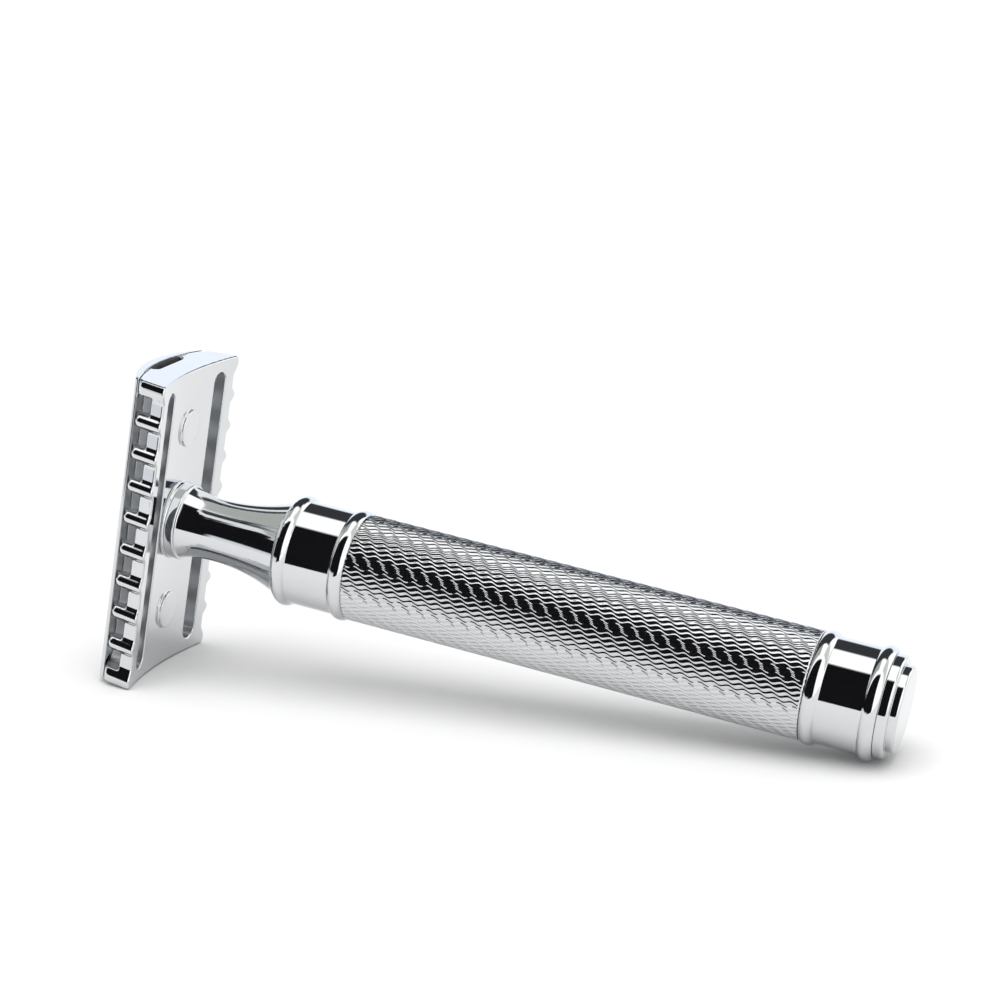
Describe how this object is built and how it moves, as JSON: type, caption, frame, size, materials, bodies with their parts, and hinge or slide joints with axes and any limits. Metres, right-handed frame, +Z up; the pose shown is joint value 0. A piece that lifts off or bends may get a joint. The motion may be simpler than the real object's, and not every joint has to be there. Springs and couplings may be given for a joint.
{
  "type": "safety razor",
  "caption": "Three-piece open-comb safety razor with a domed cap, a bent double-edge blade, a comb plate and a round engraved handle that screws onto the cap's stud.",
  "frame": {"origin": "on the floor, under the middle of the razor's overall length and width, as it lies on the short end of its head and on the foot bead", "axes": "+X from the head to the foot of the handle, level with the floor; +Y across the head; +Z up. The handle's own axis slopes down from the head by about 8 degrees in the XZ plane"},
  "size_m": [0.1118, 0.024, 0.0433],
  "materials": {
    "chrome_plate": "polished chrome plate",
    "blade_steel": "ground and polished strip steel",
    "stud_steel": "plain turned steel",
    "brass": "plain turned brass"
  },
  "bodies": {
    "plate": {"base_plate": "chrome_plate"},
    "cap": {"top_cap": "chrome_plate", "threaded_stud": "stud_steel"},
    "blade": {"double_edge_blade": "blade_steel"},
    "handle": {"neck": "chrome_plate", "thread_bush": "brass", "upper_ferrule": "chrome_plate", "grip_barrel": "chrome_plate", "lower_ferrule": "chrome_plate", "end_knob": "chrome_plate", "tie_rod": "stud_steel"}
  },
  "joints": [
    {"name": "handle_turn", "type": "hinge", "parent": "plate", "child": "handle", "pos_m": [-0.04583, 0, 0.0212], "axis": [0.9903, 0, -0.1388], "range_deg": [0, 1980]},
    {"name": "cap_lift", "type": "slide", "parent": "plate", "child": "cap", "axis": [-0.9903, 0, 0.1388], "range_m": [0, 0.0044]},
    {"name": "blade_lift", "type": "slide", "parent": "plate", "child": "blade", "axis": [-0.9903, 0, 0.1388], "range_m": [0, 0.0022]}
  ],
  "couplings": [
    {"joint": "cap_lift", "follows": "handle_turn", "m_per_rad": 0.00012732},
    {"joint": "blade_lift", "follows": "handle_turn", "m_per_rad": 0.000063662}
  ]
}
